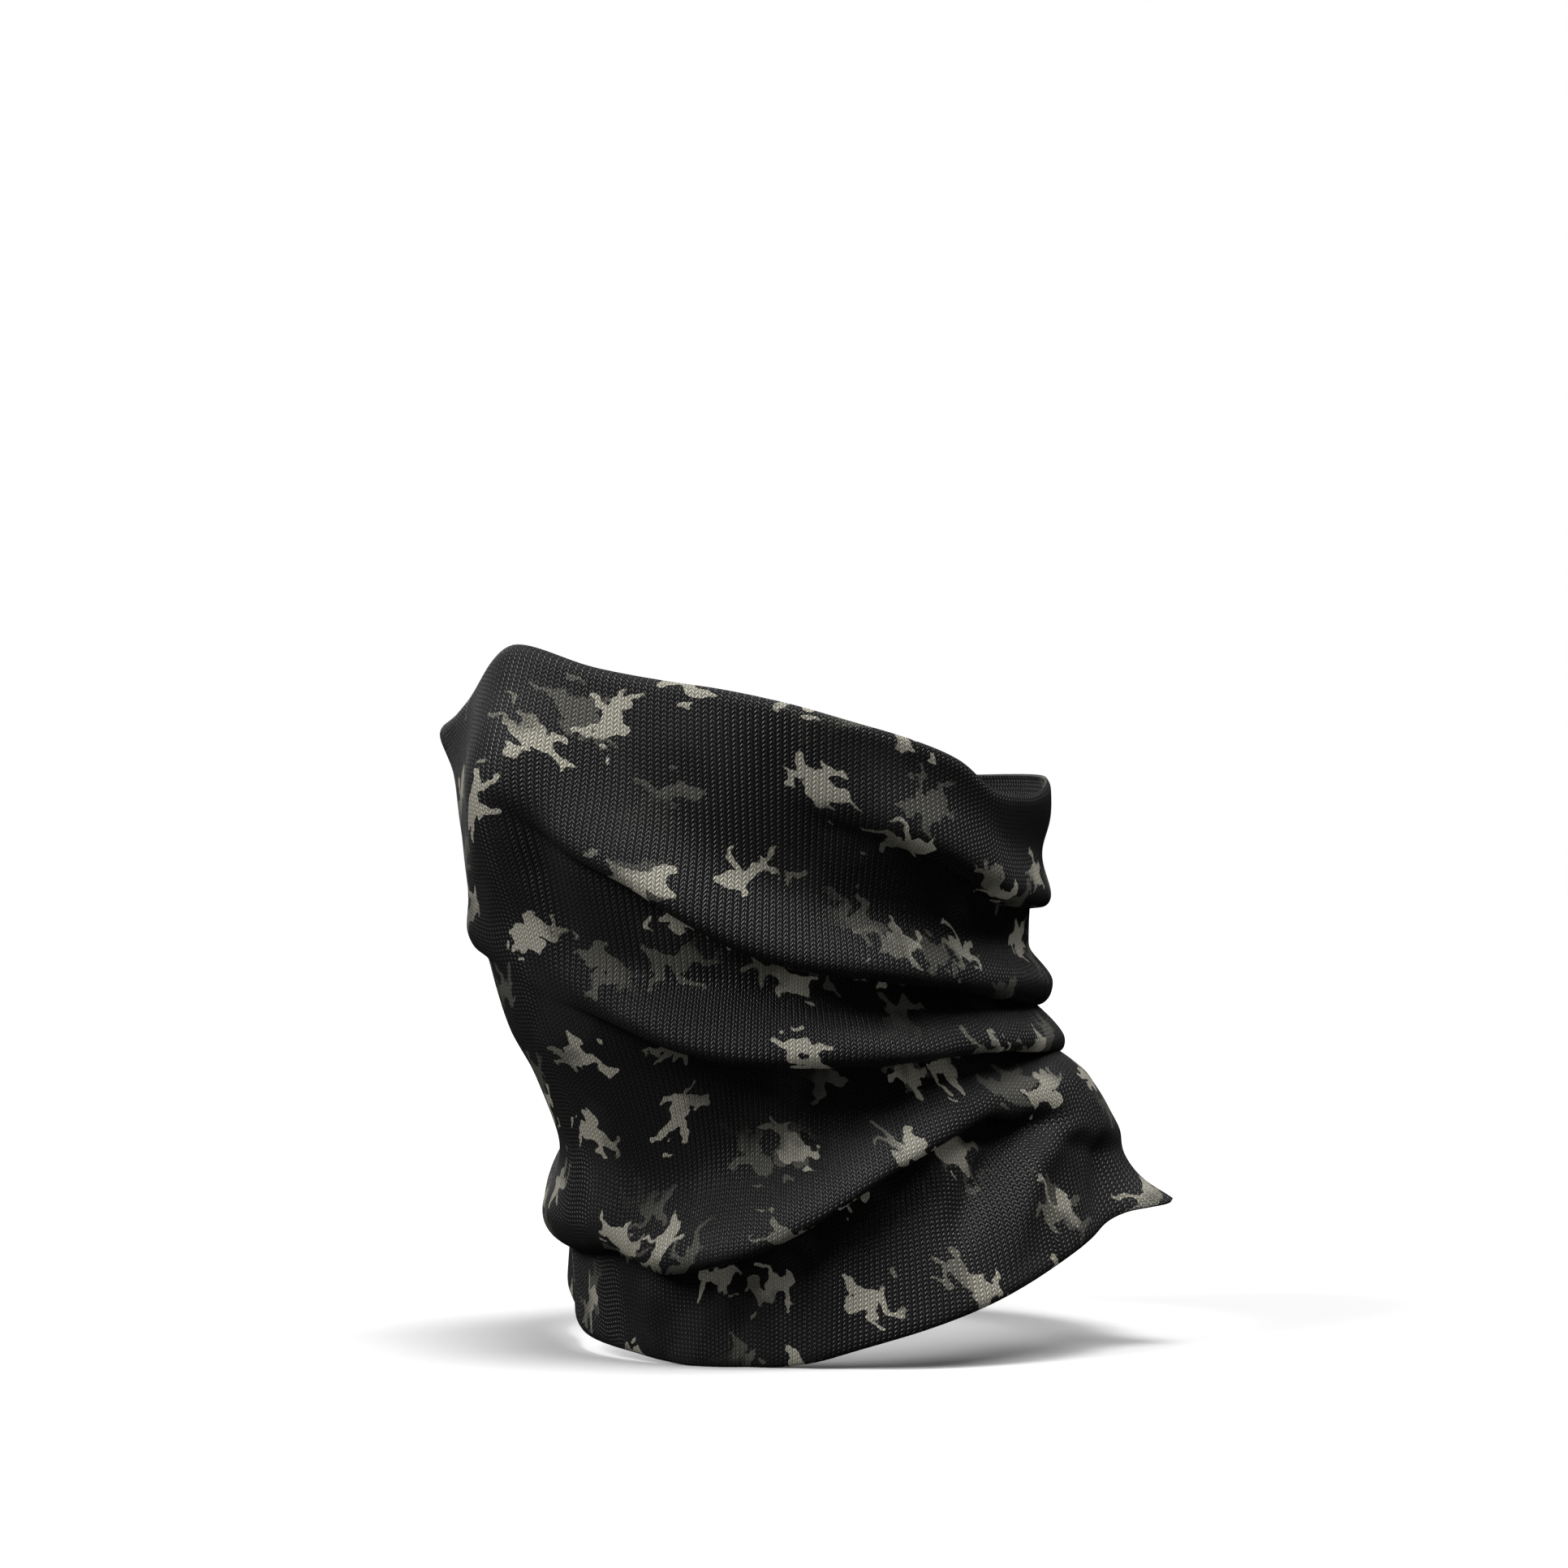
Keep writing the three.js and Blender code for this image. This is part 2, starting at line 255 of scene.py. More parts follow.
# %% Folds
RIM = [
    (0, 111), (14, 104.8), (26, 101.3), (35, 99.2), (45, 96), (57, 91.3), (67, 87.8), (80, 82.5),
    (92, 75.2), (105, 74.3), (120, 76.5), (135, 79.5), (180, 81), (225, 79), (245, 75),
    (270, 75), (293, 83), (315, 91), (335, 95), (350, 104),
]
HEM = [
    (0, -67), (24, -69.5), (45, -69), (70, -62), (90, -53), (110, -42), (135, -30),
    (180, -26), (225, -30), (250, -41), (270, -50), (290, -57), (320, -63),
]
FOLDS = [
    # droop, [(angle, height of the crest, proud, reach above, reach below)]
    (0.6, [
        (42, 78, 0, 27, 6), (56, 70, 2.5, 24, 6), (70, 63, 4.5, 22, 6), (86, 55, 5, 19, 6),
        (100, 49.5, 5, 16, 6), (120, 48.5, 5, 16, 5), (140, 47.5, 5.5, 16, 5),
        (180, 47, 8, 16, 7), (225, 49, 8, 18, 7), (255, 55, 6, 20, 7), (285, 62, 3, 22, 6),
        (315, 72, 0, 24, 6),
    ]),
    (0.75, [
        (-2, 80, 0, 24, 6), (6, 70, 2, 24, 6), (12, 62, 4, 24, 6), (21, 53.5, 6.5, 23, 6),
        (28, 45.5, 7.5, 22, 6), (35, 39, 8, 20, 6), (44, 34, 8.5, 18, 6), (60, 30.5, 8.5, 15, 6),
        (75, 28.5, 8, 14, 6), (90, 27, 7, 11, 7), (110, 26.5, 6, 6, 9), (135, 26, 6.5, 5.5, 11),
        (160, 26.5, 8, 11, 7), (190, 28, 9, 12, 7), (225, 33, 8, 14, 7), (255, 38, 6, 16, 7),
        (300, 53, 4, 20, 6), (338, 70, 0, 24, 6),
    ]),
    (0.75, [
        (0, 31, 0.3, 14, 6), (7, 26.5, 1.5, 14, 6), (15, 20.5, 4, 14, 6), (24, 14, 7, 14, 6),
        (34, 10, 8.5, 14, 6), (47, 8.5, 9, 14, 6), (61, 8.5, 9, 14, 6), (77, 10, 8.5, 12, 6),
        (94, 11.5, 8, 9, 6), (112, 11.5, 8, 6, 7), (135, 11, 9, 5.5, 8),
        (180, 9, 9.5, 11, 7), (225, 12, 9, 12, 7), (270, 25, 6, 15, 6), (300, 35, 5, 15, 6),
        (320, 38, 3.5, 15, 7), (338, 39, 3, 15, 7), (350, 36, 1, 14, 6),
    ]),
    (0.6, [
        (0, -34, 6, 23, 10), (18, -42, 8, 23, 7), (38, -38, 10.5, 23, 6), (54, -29, 10.5, 23, 6),
        (66, -20, 9.5, 22, 6), (80, -11, 8.5, 18, 6), (92, -5, 7, 12, 6), (104, -1.5, 6.5, 7, 12),
        (114, 0, 9, 5, 20), (126, 1, 12, 5, 26), (140, 0, 12, 5, 26), (160, -4, 8, 7, 18),
        (180, -9, 7, 11, 10), (240, -12, 8, 16, 8), (290, -24, 7, 20, 7), (320, -33, 7, 22, 11),
        (345, -34, 6, 23, 12),
    ]),
]
STROKES = [
    # half width, [(angle, height, proud)]
    (3.0, [(20, 25, 0), (33, 23, 1.4), (47, 20, 1.8), (62, 18, 1.4), (75, 17, 0)]),
    (5.0, [(6, 84, 0), (6, 70, -3.5), (6, 55, -4.5), (8, 42, -2.5), (10, 30, 0)]),
    (4.0, [(110, -6, -2.5), (99, -14, -4.5), (90, -25, -4.0), (84, -36, -1.0), (82, -42, 0)]),
    (4.5, [(115, -8, 1.5), (105, -18, 3.0), (98, -32, 2.2), (94, -46, 0)]),
    (2.6, [(82, -14, 0), (90, -13, -2.2), (98, -11, -3.0), (106, -7, 0)]),
    (4.0, [(126, -8, 0), (124, -18, -2.6), (120, -30, -1.6), (117, -38, 0)]),
    (6.0, [(12, -45, 0), (10, -52, 1.8), (8, -60, 1.2)]),
    (7.0, [(28, -52, 0), (34, -60, -2.2), (36, -70, -1.5)]),
    (6.0, [(62, -34, 0), (57, -48, 2.0), (54, -66, 1.2)]),
    (8.0, [(-56, 95, 2.4), (-38, 91, 2.6), (-26, 96, 0.5)]),
    (9.0, [(112, 70, 0.6), (132, 67, 2.0), (152, 66, 0.6)]),
]


SHORT_FOOT, FOOT_ROUNDNESS, FOOT_GROWTH = 8, 0.5, 0.08  # a foot longer than this runs out softly


def fold_lift(angle, height):
    """How far the folds stand off the form, and how far they hang below their own place."""
    lift, hang = np.zeros_like(height), np.zeros_like(height)
    for droop, ridge in FOLDS:
        at, *columns = zip(*ridge)
        crest, proud, above, below = (smooth_through(at, c, angle, 360) for c in columns)
        off = height - crest - droop * proud  # the crest hangs down to the height of its line
        t = np.clip(off / above, 0, 1)
        over = (1 - t) ** 4 * (1 + 4 * t)  # flat on the crest, steepest just above it
        softness = FOOT_ROUNDNESS + FOOT_GROWTH * np.clip(below - SHORT_FOOT, 0, 10)
        under = np.clip(1 - (off / below) ** 2, 0, 1) ** softness
        roll = proud * np.where(off > 0, over, under)
        hang = np.where(roll > lift, droop * roll * np.clip(1 - off / above, 0, 1), hang)
        lift = np.maximum(lift, roll)
    return lift, hang


STROKE_RADIUS = 74  # the strokes are laid out on a cylinder of this radius


def stroke_lift(angle, height):
    """How far the short wrinkles raise or sink the cloth."""
    lift = np.zeros_like(height)
    across = np.radians(from_front(angle)) * STROKE_RADIUS
    for half_width, path in STROKES:
        best, best_gap = np.zeros_like(height), np.full_like(height, 1e9)
        for (a0, z0, p0), (a1, z1, p1) in zip(path, path[1:]):
            x0, x1 = math.radians(a0) * STROKE_RADIUS, math.radians(a1) * STROKE_RADIUS
            run, drop = x1 - x0, z1 - z0
            t = ((across - x0) * run + (height - z0) * drop) / (run * run + drop * drop)
            t = np.clip(t, 0, 1)
            gap = np.hypot(across - x0 - run * t, height - z0 - drop * t)
            best = np.where(gap < best_gap, p0 + (p1 - p0) * t, best)
            best_gap = np.minimum(best_gap, gap)
        lift += best * np.exp(-((best_gap / half_width) ** 2))
    return lift


# %% [markdown]
# ## The drape
#
# A place on the cloth is an angle round the neck and a share of the way from the rim to the hem.
# The drape stands the cloth off the wearer's form by the folds and wrinkles, turns in both cut
# edges as a cut edge of jersey curls, pulls the hem out to a point behind the left shoulder, and
# sinks a groove along the back seam. A cloth simulation could find a drape of its own, but tables
# put every roll where it belongs and give the same cloth each time.

# %% The drape
HEM_POINT_ANGLE, HEM_POINT_HALF_ANGLE, HEM_POINT_PROUD = 132, 5.5, 14
HEM_POINT_SHARPNESS = 20  # a power: the higher, the closer to the hem the point begins
CURL_WIDTH, CURL_DEPTH = 2.5, 1.2  # how the two cut edges turn in
SEAM_GROOVE, SEAM_HALF_ANGLE = 0.9, 1.1


def drape(angle, along):
    """Where the outer face of the cloth lies; along runs from the rim (0) to the hem (1)."""
    angle, along = np.broadcast_arrays(np.asarray(angle, float), np.asarray(along, float))
    shape = angle.shape
    angle, along = angle.ravel(), along.ravel()
    rim = smooth_through([a for a, _ in RIM], [z for _, z in RIM], angle, 360)
    hem = smooth_through([a for a, _ in HEM], [z for _, z in HEM], angle, 360)
    height = rim + (hem - rim) * along
    lift, hang = fold_lift(angle, height)
    point = HEM_POINT_PROUD * along ** HEM_POINT_SHARPNESS
    point *= np.exp(-((from_front(angle - HEM_POINT_ANGLE) / HEM_POINT_HALF_ANGLE) ** 2))
    reach = form_reach(angle, height) + lift + stroke_lift(angle, height) + point
    to_edge = np.minimum(rim - height, height - hem)
    reach -= CURL_DEPTH * np.clip(1 - to_edge / CURL_WIDTH, 0, 1) ** 2
    reach -= SEAM_GROOVE * np.exp(-((from_front(angle - 180) / SEAM_HALF_ANGLE) ** 2))
    turn = np.radians(angle)
    place = np.stack([reach * np.sin(turn), -reach * np.cos(turn), height - hang], axis=-1)
    return place.reshape(*shape, 3)


print("rim at the nose:", drape(0, 0).round(1))

# %% [markdown]
# ## The cloth
#
# The mask is one panel of jersey, cut flat. It could be modelled as a tube and pushed into folds,
# but the print and the knit would stretch, so it starts as a flat grid with the size of the cut in
# its UV map. The columns are spaced evenly round the tube and the rows evenly down the cloth, folds
# included, so that the knit and the print keep their scale on every fold. Then the two side edges
# are joined at the centre back, and Solidify gives the cloth its thickness inwards.

# %% Where the columns and the rows go
COLUMNS, ROWS = 312, 152
CLOTH_THICKNESS = 0.0009
PANEL_ROUND, PANEL_LENGTH = 0.46, 0.225  # metres, flat

fine = np.linspace(180, 540, 1441)
rings = drape(fine[None, :], np.linspace(0, 1, 25)[:, None])
hoop = np.linalg.norm(np.diff(rings, axis=1), axis=2).mean(axis=0)
walked = np.concatenate([[0], np.cumsum(hoop)])
angles = np.interp(np.linspace(0, walked[-1], COLUMNS + 1), walked, fine)

steps = np.linspace(0, 1, 1201)
lines = drape(angles[None, :], steps[:, None])
down = np.linalg.norm(np.diff(lines, axis=0), axis=2)
down = np.concatenate([np.zeros((1, COLUMNS + 1)), np.cumsum(down, axis=0)])
places = np.zeros((ROWS + 1, COLUMNS + 1, 3))
for column in range(COLUMNS + 1):
    at = np.linspace(0, down[-1, column], ROWS + 1)
    for axis in range(3):
        places[:, column, axis] = np.interp(at, down[:, column], lines[:, column, axis])
print("hoop", walked[-1].round(), "mm; lengths", down[-1, ::COLUMNS // 8].round(), "mm")

# %% Cloth panel
bm = bmesh.new()
bmesh.ops.create_grid(bm, x_segments=COLUMNS, y_segments=ROWS, size=1)
pattern = bm.loops.layers.uv.new("cloth")
where = {}
for vertex in bm.verts:
    column = round((vertex.co.x + 1) / 2 * COLUMNS)
    row = round((1 - vertex.co.y) / 2 * ROWS)
    where[vertex.index] = (row, column)
    vertex.co = places[row, column] / 1000
for face in bm.faces:
    face.smooth = True
    for loop in face.loops:
        row, column = where[loop.vert.index]
        run = row / ROWS * down[-1, column] / 1000
        loop[pattern].uv = (PANEL_ROUND * column / COLUMNS, PANEL_LENGTH - run)
bmesh.ops.remove_doubles(bm, verts=bm.verts, dist=1e-6)
for _ in range(2):
    bmesh.ops.smooth_vert(
        bm, verts=bm.verts, factor=0.5, use_axis_x=True, use_axis_y=True, use_axis_z=True,
    )
bmesh.ops.recalc_face_normals(bm, faces=bm.faces)
cloth = new_object("knit_cloth", mesh_from("knit_cloth", bm))
thick = cloth.modifiers.new("cloth thickness", "SOLIDIFY")
thick.thickness = CLOTH_THICKNESS
thick.offset = -1
print("cloth:", len(cloth.data.polygons), "faces")

# %% [markdown]
# ## Nodes
#
# The knit and the print are patterns, worked out by nodes from the flat cloth's own coordinates.
# That takes many nodes, so a small helper places a node, feeds its inputs with numbers or with the
# outputs of other nodes, and hands back its output.

# %% Helper for nodes
class Wiring:
    """Places nodes in one tree; each method gives back the output socket of the node it placed."""

    def __init__(self, tree):
        self.tree = tree

    def node(self, kind, **settings):
        placed = self.tree.nodes.new("ShaderNode" + kind)
        for name, value in settings.items():
            setattr(placed, name, value)
        return placed

    def feed(self, socket, value):
        if isinstance(value, bpy.types.NodeSocket):
            self.tree.links.new(value, socket)
        else:
            socket.default_value = value

    def math(self, operation, *values, clamp=False):
        placed = self.node("Math", operation=operation, use_clamp=clamp)
        for socket, value in zip(placed.inputs, values):
            self.feed(socket, value)
        return placed.outputs[0]

    def vector(self, operation, *values):
        placed = self.node("VectorMath", operation=operation)
        for socket, value in zip(placed.inputs, values):
            self.feed(socket, value)
        single = operation in ("DOT_PRODUCT", "LENGTH", "DISTANCE")
        return placed.outputs["Value" if single else "Vector"]

    def scaled(self, vector, factor):
        placed = self.node("VectorMath", operation="SCALE")
        self.feed(placed.inputs["Vector"], vector)
        self.feed(placed.inputs["Scale"], factor)
        return placed.outputs["Vector"]

    def ramp(self, value, start, end, low=0.0, high=1.0):
        placed = self.node("MapRange", interpolation_type="SMOOTHSTEP")
        for socket, number in zip(placed.inputs, (value, start, end, low, high)):
            self.feed(socket, number)
        return placed.outputs["Result"]

    def blend(self, factor, first, second, how="MIX"):
        placed = self.node("Mix", data_type="RGBA", blend_type=how)
        for index, value in zip((0, 6, 7), (factor, first, second)):
            self.feed(placed.inputs[index], value)
        return placed.outputs[2]

    def noise(self, vector, scale, detail=2.0, output="Fac"):
        placed = self.node("TexNoise", noise_dimensions="3D")
        self.feed(placed.inputs["Vector"], vector)
        placed.inputs["Scale"].default_value = scale
        placed.inputs["Detail"].default_value = detail
        return placed.outputs[output]


def node_group(name, inputs, outputs):
    """An empty shader node group, its wiring, and its two ends."""
    tree = bpy.data.node_groups.new(name, "ShaderNodeTree")
    for label, kind in inputs:
        tree.interface.new_socket(label, in_out="INPUT", socket_type="NodeSocket" + kind)
    for label, kind in outputs:
        tree.interface.new_socket(label, in_out="OUTPUT", socket_type="NodeSocket" + kind)
    wiring = Wiring(tree)
    first = tree.nodes.new("NodeGroupInput")
    last = tree.nodes.new("NodeGroupOutput")
    return wiring, first.outputs, last.inputs


def place_group(wiring, tree, **values):
    """The group's node in another tree, with its inputs fed by name."""
    placed = wiring.node("Group", node_tree=tree)
    for label, value in values.items():
        wiring.feed(placed.inputs[label.replace("_", " ")], value)
    return placed.outputs


# %% [markdown]
# ## Knit stitches
#
# The face of plain jersey is columns of small V's. Each V is one loop of yarn, and its two legs
# come up through the loop below. There are about sixty thousand of them, too many to model as
# yarn, so a node group draws one V and repeats it: a leg is round across its width and sinks at its
# ends, and what is left between the legs is a gap. The group gives out the height for a bump, and
# the gap for roughness and for painted shade in the colour.

# %% Knit stitches
STITCH_LEAN = 1.9  # how many courses a leg would climb over a whole wale
LEG_FLATNESS, END_FLATNESS = 3.0, 2.0  # powers: the higher, the flatter the leg's top
END_HEIGHT = 0.05
OPEN_BELOW, CLOSED_ABOVE = 0.1, 0.62  # heights between which the gap closes

# The group's input is the flat cloth in millimetres, x round the tube and y up it.
knit, given, result = node_group(
    "knit stitches",
    [("Cloth", "Vector"), ("Wale", "Float"), ("Course", "Float")],
    [("Height", "Float"), ("Gap", "Float")],
)
split = knit.node("SeparateXYZ")
knit.feed(split.inputs[0], given["Cloth"])
column = knit.math("DIVIDE", split.outputs["X"], given["Wale"])
beside = knit.math("ABSOLUTE", knit.math("SUBTRACT", knit.math("FRACT", column), 0.5))
row = knit.math("DIVIDE", split.outputs["Y"], given["Course"])
row = knit.math("SUBTRACT", row, knit.math("MULTIPLY", beside, STITCH_LEAN))
along = knit.math("ABSOLUTE", knit.math("SUBTRACT", knit.math("FRACT", row), 0.5))
across = knit.math("DIVIDE", knit.math("SUBTRACT", beside, 0.25), 0.25)
off_middle = knit.math("POWER", knit.math("ABSOLUTE", across), LEG_FLATNESS)
leg = knit.math("SUBTRACT", 1.0, off_middle)
off_middle = knit.math("POWER", knit.math("MULTIPLY", along, 2.0), END_FLATNESS)
ends = knit.math("SUBTRACT", 1.0, off_middle)
ends = knit.math("MULTIPLY_ADD", ends, 1.0 - END_HEIGHT, END_HEIGHT)
height = knit.math("MULTIPLY", leg, ends, clamp=True)
knit.feed(result["Height"], height)
knit.feed(result["Gap"], knit.ramp(height, OPEN_BELOW, CLOSED_ABOVE, 1.0, 0.0))
knit_group = knit.tree
print("knit stitches:", len(knit_group.nodes), "nodes")

# %% [markdown]
# ## Print blots
#
# The camo print scatters ragged blots over a black ground. They could be painted in an image, but
# nodes stay sharp from close by. Cells deal out one blot each, and a few tapered strokes make its
# body and its arms. Noise roughens the outline, and every cell turns, flips or leaves out its own
# blot, so that few look alike. The fade says how far each place is towards a blot's dim end.

# %% Print blots
# Strokes with a radius at each end, in millimetres about the middle of the blot.
BRANCHED = [
    ((-6.4, -1.6), (-2.6, 0.6), 1.3, 2.3), ((-2.6, 0.6), (2.8, 0.4), 2.3, 1.9),
    ((2.8, 0.4), (5.8, -2.0), 1.5, 1.0), ((5.8, -2.0), (9.6, -1.2), 0.9, 0.5),
    ((2.8, 0.4), (5.4, 3.2), 1.6, 1.0), ((-2.6, 0.6), (-4.4, 4.2), 1.5, 1.0),
    ((0.0, 0.2), (-0.8, -4.2), 1.6, 0.9), ((-0.8, -4.2), (1.8, -6.6), 0.8, 0.7),
    ((8.2, 5.4), (9.4, 5.8), 0.7, 0.4),
]
LOBED = [
    ((-4.8, -1.4), (3.0, 1.2), 2.0, 2.4), ((3.0, 1.2), (9.4, 0.8), 1.5, 0.6),
    ((1.2, 1.2), (0.0, 4.8), 1.7, 1.1), ((-1.4, -0.4), (1.0, -4.6), 1.5, 1.6),
    ((-4.8, -1.4), (-8.6, 1.0), 1.4, 0.8), ((4.2, 1.6), (6.4, 4.8), 1.0, 0.6),
    ((-6.4, -5.6), (-5.2, -6.0), 0.7, 0.5),
]

blots, given, result = node_group(
    "print blots",
    [
        ("Cloth", "Vector"), ("Cell", "Float"), ("Size", "Float"), ("Scatter", "Float"),
        ("Share", "Float"),
    ],
    [("Blot", "Float"), ("Fade", "Float")],
)


def stroke_distance(wiring, place, start, end, first_radius, last_radius):
    """How far a place is from a tapered stroke, less than nothing inside it."""
    run = (end[0] - start[0], end[1] - start[1])
    square = run[0] ** 2 + run[1] ** 2
    from_start = wiring.vector("SUBTRACT", place, (*start, 0))
    share = wiring.vector("DOT_PRODUCT", from_start, (run[0] / square, run[1] / square, 0))
    share = wiring.math("MULTIPLY", share, 1.0, clamp=True)
    nearest = wiring.scaled((*run, 0), share)
    gap = wiring.vector("DISTANCE", from_start, nearest)
    radius = wiring.math("MULTIPLY_ADD", share, last_radius - first_radius, first_radius)
    return wiring.math("SUBTRACT", gap, radius)


ARM_BLEND = 0.7  # how far round a corner where two strokes meet is filled


def blot_distance(wiring, place, strokes):
    """How far a place is from the nearest of a blot's strokes, less than nothing inside it."""
    total = None
    for stroke in strokes:
        gap = stroke_distance(wiring, place, *stroke)
        total = gap if total is None else wiring.math("SMOOTH_MIN", total, gap, ARM_BLEND)
    return total


def moved(wiring, place, scale, reach):
    """How far noise of one scale moves the cloth's places, about none on the whole."""
    push = wiring.vector("SUBTRACT", wiring.noise(place, scale, 0.0, "Color"), (0.5, 0.5, 0.5))
    return wiring.scaled(push, reach)


RAGGED, KNOBS = (0.25, 6.5), (0.62, 1.6)  # scale, and reach in millimetres
MOST_TURN = 0.75  # radians either way
EDGE_IN, EDGE_OUT = -0.1, 0.12  # millimetres over which the ink ends
FADE_TOWARDS = (0.8, 0.6, 0)
FADE_START, FADE_SPREAD, FADE_LENGTH = 1.0, 12.0, 7.0

coarse, fine_push = moved(blots, given["Cloth"], *RAGGED), moved(blots, given["Cloth"], *KNOBS)
torn = blots.vector("ADD", given["Cloth"], blots.vector("ADD", coarse, fine_push))
in_cells = blots.scaled(torn, blots.math("DIVIDE", 1.0, given["Cell"]))
cells = blots.node("TexVoronoi", voronoi_dimensions="2D", feature="F1")
blots.feed(cells.inputs["Vector"], in_cells)
cells.inputs["Scale"].default_value = 1.0
blots.feed(cells.inputs["Randomness"], given["Scatter"])
local = blots.vector("SUBTRACT", in_cells, cells.outputs["Position"])
local = blots.scaled(local, blots.math("DIVIDE", given["Cell"], given["Size"]))
pick = blots.node("SeparateColor")
blots.feed(pick.inputs[0], cells.outputs["Color"])
turned = blots.node("VectorRotate", rotation_type="Z_AXIS")
blots.feed(turned.inputs["Vector"], local)
turn = blots.math("MULTIPLY_ADD", pick.outputs["Red"], 2 * MOST_TURN, -MOST_TURN)
blots.feed(turned.inputs["Angle"], turn)
again = blots.math("FRACT", blots.math("MULTIPLY", pick.outputs["Green"], 5.0))
flip = blots.node("CombineXYZ")
blots.feed(flip.inputs["X"], blots.math("SIGN", blots.math("SUBTRACT", pick.outputs["Green"], 0.5)))
blots.feed(flip.inputs["Y"], blots.math("SIGN", blots.math("SUBTRACT", again, 0.5)))
local = blots.vector("MULTIPLY", turned.outputs[0], flip.outputs[0])
first = blot_distance(blots, local, BRANCHED)
second = blot_distance(blots, local, LOBED)
either = blots.math("GREATER_THAN", pick.outputs["Blue"], 0.5)
gap = blots.math("MULTIPLY_ADD", either, blots.math("SUBTRACT", second, first), first)
luck = blots.math("FRACT", blots.math("MULTIPLY", pick.outputs["Red"], 7.0))
there = blots.math("LESS_THAN", luck, given["Share"])
ink = blots.ramp(gap, EDGE_IN, EDGE_OUT, 1.0, 0.0)
blots.feed(result["Blot"], blots.math("MULTIPLY", ink, there))
slant = blots.vector("DOT_PRODUCT", local, FADE_TOWARDS)
reach = blots.math("MULTIPLY_ADD", pick.outputs["Green"], FADE_SPREAD, FADE_START)
dim_from = blots.math("SUBTRACT", reach, FADE_LENGTH)
blots.feed(result["Fade"], blots.ramp(slant, reach, dim_from, 0.0, 1.0))
blots_group = blots.tree
print("print blots:", len(blots_group.nodes), "nodes")

# %% [markdown]
# ## Printed jersey
#
# The print is ink on polyester: soft charcoal clouds lie lowest, smoky blots over them, and sand
# blots on top. The legs of the stitches have a little lustre and the gaps between them are dull.
# The colour darkens in the gaps as painted shade, less where ink covers them. The reverse is the
# same knit with the print only faintly through, so one function makes both, and both take their
# places from the flat cloth.

# %% Jersey
GROUND = (0.014, 0.014, 0.0142, 1)
CHARCOAL = (0.03, 0.03, 0.0295, 1)
DIM_SMOKE = (0.02, 0.02, 0.017, 1)
SMOKE = (0.12, 0.117, 0.098, 1)
DIM_SAND = (0.2, 0.193, 0.155, 1)
SAND = (0.55, 0.527, 0.43, 1)
WALE, COURSE = 1.46, 1.13  # width and height of a stitch in millimetres
SMOKE_BLOTS = {"Cell": 30.0, "Size": 1.1, "Scatter": 0.7, "Share": 0.8}
SAND_BLOTS = {"Cell": 28.0, "Size": 1.0, "Scatter": 0.6, "Share": 1.0}
SMOKE_OFFSET = (311.0, 137.0, 0.0)  # so that the two kinds of blot don't share their cells
CLOUD_SCALE, CLOUD_STRENGTH = 0.05, 0.8
LEG_ROUGHNESS, GAP_ROUGHNESS = 0.34, 1.0
GAP_PAINTED_SHADE, INKED_GAP_PAINTED_SHADE = 0.95, 0.45  # painted shade in the stitch gaps, less where ink covers them
STITCH_RELIEF = 0.0003


def new_material(name):
    material = bpy.data.materials.new(name)
    material.use_nodes = True
    wiring = Wiring(material.node_tree)
    return material, wiring, material.node_tree.nodes["Principled BSDF"]


def jersey(name, printed):
    """Printed single jersey; printed says how much of the print is seen from this face."""
    material, w, shader = new_material(name)
    flat = w.scaled(w.node("UVMap", uv_map="cloth").outputs["UV"], 1000.0)
    clouds = w.ramp(w.noise(flat, CLOUD_SCALE, 2.0), 0.5, 0.68)
    colour = w.blend(w.math("MULTIPLY", clouds, CLOUD_STRENGTH * printed), GROUND, CHARCOAL)
    smoke = place_group(w, blots_group, Cloth=w.vector("ADD", flat, SMOKE_OFFSET), **SMOKE_BLOTS)
    smoke_ink = w.blend(smoke["Fade"], DIM_SMOKE, SMOKE)
    colour = w.blend(w.math("MULTIPLY", smoke["Blot"], printed), colour, smoke_ink)
    sand = place_group(w, blots_group, Cloth=flat, **SAND_BLOTS)
    sand_ink = w.blend(sand["Fade"], DIM_SAND, SAND)
    colour = w.blend(w.math("MULTIPLY", sand["Blot"], printed), colour, sand_ink)
    stitches = place_group(w, knit_group, Cloth=flat, Wale=WALE, Course=COURSE)
    uneven = w.ramp(w.noise(flat, 1.6, 1.0), 0.2, 0.8, 0.92, 1.08)
    # Painted shade: the colour darkens in the stitch gaps, less where ink covers them, and uneven
    # varies the tone at random.
    inked = w.math("MULTIPLY", w.math("MAXIMUM", smoke["Blot"], sand["Blot"]), printed)
    dark = w.math("MULTIPLY_ADD", inked, GAP_PAINTED_SHADE - INKED_GAP_PAINTED_SHADE, -GAP_PAINTED_SHADE)
    shade = w.math("MULTIPLY", uneven, w.math("MULTIPLY_ADD", stitches["Gap"], dark, 1.0))
    colour = w.blend(1.0, colour, w.scaled((1.0, 1.0, 1.0), shade), "MULTIPLY")
    w.feed(shader.inputs["Base Color"], colour)
    duller = GAP_ROUGHNESS - LEG_ROUGHNESS
    roughness = w.math("MULTIPLY_ADD", stitches["Gap"], duller, LEG_ROUGHNESS)
    w.feed(shader.inputs["Roughness"], roughness)
    shader.inputs["Specular IOR Level"].default_value = 0.75
    relief = w.math("ADD", stitches["Height"], w.math("MULTIPLY", w.noise(flat, 5.0, 1.0), 0.08))
    bump = w.node("Bump")
    bump.inputs["Strength"].default_value = 1.0
    bump.inputs["Distance"].default_value = STITCH_RELIEF
    w.feed(bump.inputs["Height"], relief)
    w.feed(shader.inputs["Normal"], bump.outputs["Normal"])
    return material


